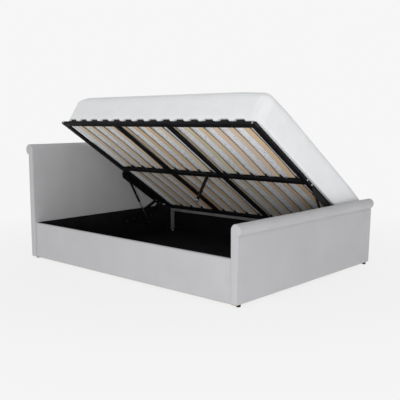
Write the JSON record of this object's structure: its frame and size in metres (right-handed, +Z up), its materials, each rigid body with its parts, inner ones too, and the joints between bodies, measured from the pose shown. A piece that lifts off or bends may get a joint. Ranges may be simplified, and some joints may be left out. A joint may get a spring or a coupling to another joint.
{
  "type": "ottoman bed",
  "caption": "Upholstered storage bed with scroll-top head and foot boards and a sprung slat platform with mattress that lifts on arms and gas struts from one long side.",
  "frame": {"origin": "on the floor under the middle of the storage well, at the underside of the middle foot of the floor bearer", "axes": "+X from the headboard to the footboard, -Y towards the side that opens, +Z up"},
  "size_m": [2.1679, 1.6306, 1.2731],
  "materials": {
    "light_grey_fabric": "matte",
    "board_wood": "matte",
    "black_panel": "matte",
    "black_steel": "satin",
    "grey_steel": "satin",
    "bright_steel": "satin",
    "black_plastic": "matte",
    "slat_birch": "satin",
    "mattress_ticking": "matte",
    "roll_foam": "matte"
  },
  "bodies": {
    "base": {"headboard_core": "board_wood", "headboard_roll": "roll_foam", "headboard_cover": "light_grey_fabric", "footboard_core": "board_wood", "footboard_roll": "roll_foam", "footboard_cover": "light_grey_fabric", "near_rail_core": "board_wood", "near_rail_cover": "light_grey_fabric", "near_rail_lining": "black_panel", "far_rail_core": "board_wood", "far_rail_cover": "light_grey_fabric", "far_rail_lining": "black_panel", "head_end_panel": "black_panel", "foot_end_panel": "black_panel", "floor_panel_head": "black_panel", "floor_panel_foot": "black_panel", "floor_battens_long": "board_wood", "floor_battens_cross": "board_wood", "floor_centre_bearer": "board_wood", "floor_bearer_feet": "black_plastic", "glide_feet": "black_plastic", "corner_brackets": "black_steel", "corner_bolts": "bright_steel", "rear_support_bar": "grey_steel", "rear_support_posts": "grey_steel", "rear_post_feet": "bright_steel", "head_hinge_bracket": "black_steel", "foot_hinge_bracket": "black_steel", "hinge_bracket_bolts": "bright_steel", "base_pivot_pins": "bright_steel"},
    "front_arms": {"head_front_arm": "black_steel", "foot_front_arm": "black_steel"},
    "rear_arms": {"head_rear_arm": "black_steel", "foot_rear_arm": "black_steel"},
    "gas_rods": {"head_gas_rod": "bright_steel", "foot_gas_rod": "bright_steel", "strut_lower_ends": "black_steel"},
    "gas_cylinders": {"head_gas_cylinder": "black_steel", "foot_gas_cylinder": "black_steel", "strut_upper_ends": "black_steel"},
    "platform": {"head_top_bar": "black_steel", "foot_top_bar": "black_steel", "top_pivot_pins": "bright_steel", "near_tube": "black_steel", "far_tube": "black_steel", "centre_tube": "black_steel", "head_end_tube": "black_steel", "foot_end_tube": "black_steel", "cross_tube_head": "black_steel", "cross_tube_foot": "black_steel", "tube_end_plugs": "black_plastic", "frame_bolts": "bright_steel", "slats_near": "slat_birch", "slats_far": "slat_birch", "slat_caps_near": "black_plastic", "slat_caps_centre": "black_plastic", "slat_caps_far": "black_plastic", "support_leg": "black_steel", "mattress": "mattress_ticking"},
    "support_leg_foot": {"support_leg_foot": "bright_steel"}
  },
  "joints": [
    {"name": "lift", "type": "hinge", "parent": "base", "child": "front_arms", "pos_m": [0, 0.22127, 0.20552], "axis": [1, 0, 0], "range_deg": [-20.99, 0], "stiffness_Nm_per_rad": 900, "springref_deg": 57.3},
    {"name": "platform_tilt", "type": "hinge", "parent": "front_arms", "child": "platform", "pos_m": [0, 0.50864, 0.3463], "axis": [1, 0, 0], "range_deg": [0, 54.67]},
    {"name": "rear_arm_turn", "type": "hinge", "parent": "base", "child": "rear_arms", "pos_m": [0, 0.44112, 0.21569], "axis": [1, 0, 0], "range_deg": [-36.32, 0]},
    {"name": "strut_turn", "type": "hinge", "parent": "base", "child": "gas_rods", "pos_m": [0, 0.398, 0.15], "axis": [1, 0, 0], "range_deg": [0, 44.26]},
    {"name": "strut_stroke", "type": "slide", "parent": "gas_rods", "child": "gas_cylinders", "axis": [0, -0.4898, 0.8718], "range_m": [-0.20044, 0.0001]},
    {"name": "leg_height", "type": "slide", "parent": "platform", "child": "support_leg_foot", "axis": [0, 0.5541, 0.8324], "range_m": [0, 0.006]}
  ],
  "couplings": [
    {"joint": "platform_tilt", "follows": "lift", "ratio": -2.6029},
    {"joint": "rear_arm_turn", "follows": "lift", "ratio": 1.7293},
    {"joint": "strut_turn", "follows": "lift", "ratio": -2.1073},
    {"joint": "strut_stroke", "follows": "lift", "m_per_rad": 0.54679}
  ]
}
